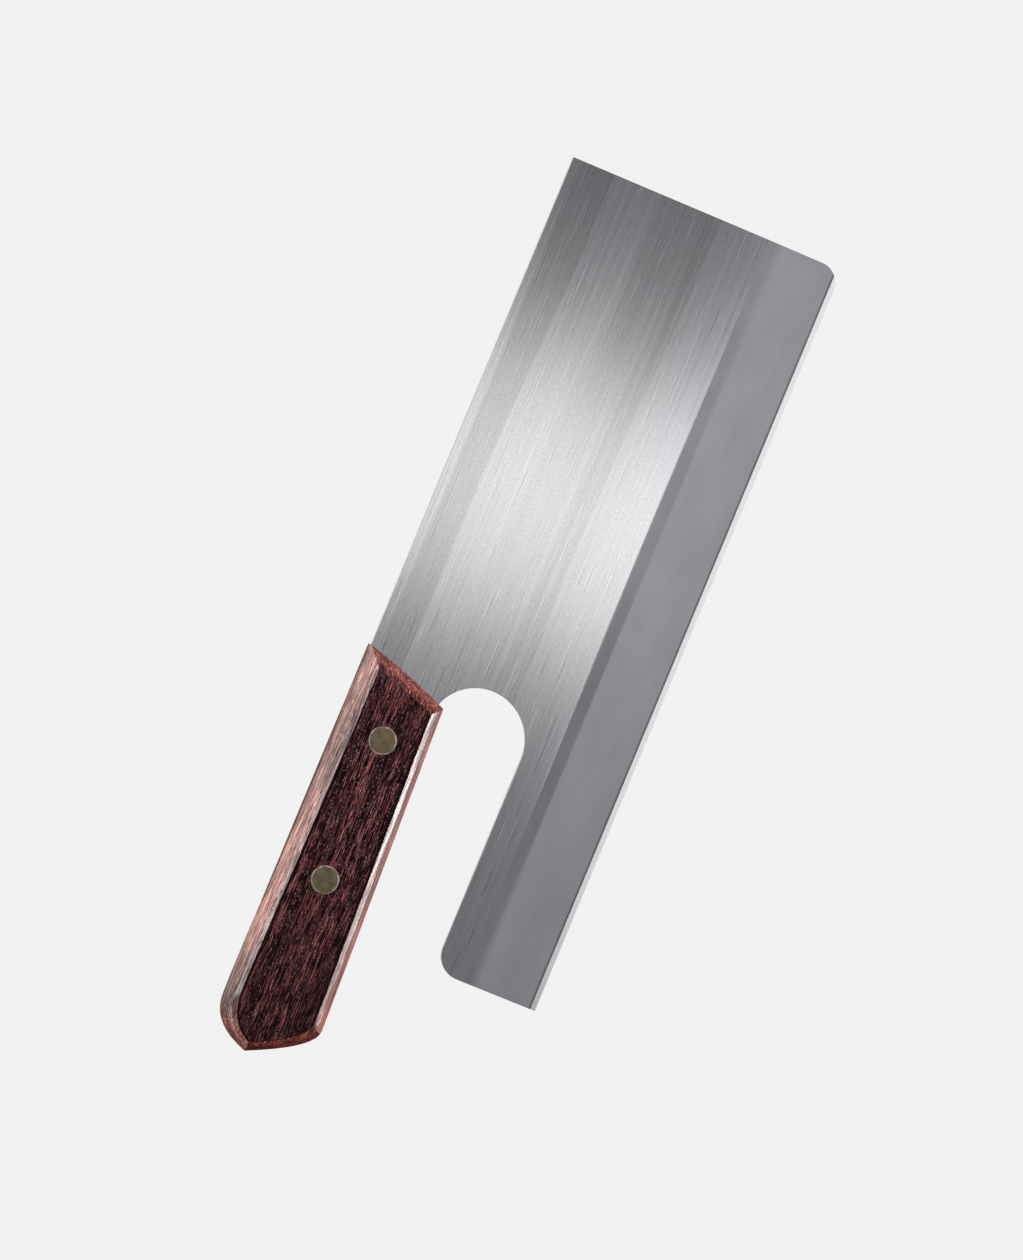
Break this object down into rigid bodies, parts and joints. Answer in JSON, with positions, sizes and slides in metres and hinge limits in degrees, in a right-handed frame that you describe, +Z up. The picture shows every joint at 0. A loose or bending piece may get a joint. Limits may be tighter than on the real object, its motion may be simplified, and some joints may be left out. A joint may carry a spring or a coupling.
{
  "type": "soba knife",
  "caption": "Broad square-ended single-bevel noodle knife whose heel runs back under a riveted wooden handle, leaving a finger gap between handle and edge.",
  "frame": {"origin": "bottom centre of the knife's box, with the knife lying on the flat face of its left scale", "axes": "+X towards the front end of the blade, +Y towards the spine, +Z up through the ground right face"},
  "size_m": [0.2834, 0.0888, 0.02],
  "materials": {
    "blade_steel": "brushed lengthwise on the flat, satin on the ground bevel, bright along the edge",
    "handle_wood": "dark reddish open-grained wood, oiled satin, lighter on the bevels",
    "rivet_brass": "ground flush, dull olive brass"
  },
  "bodies": {
    "root": {"blade": "blade_steel", "right_scale": "handle_wood", "left_scale": "handle_wood", "front_rivet_socket": "rivet_brass", "front_rivet_post": "rivet_brass", "rear_rivet_socket": "rivet_brass", "rear_rivet_post": "rivet_brass"}
  },
  "joints": []
}
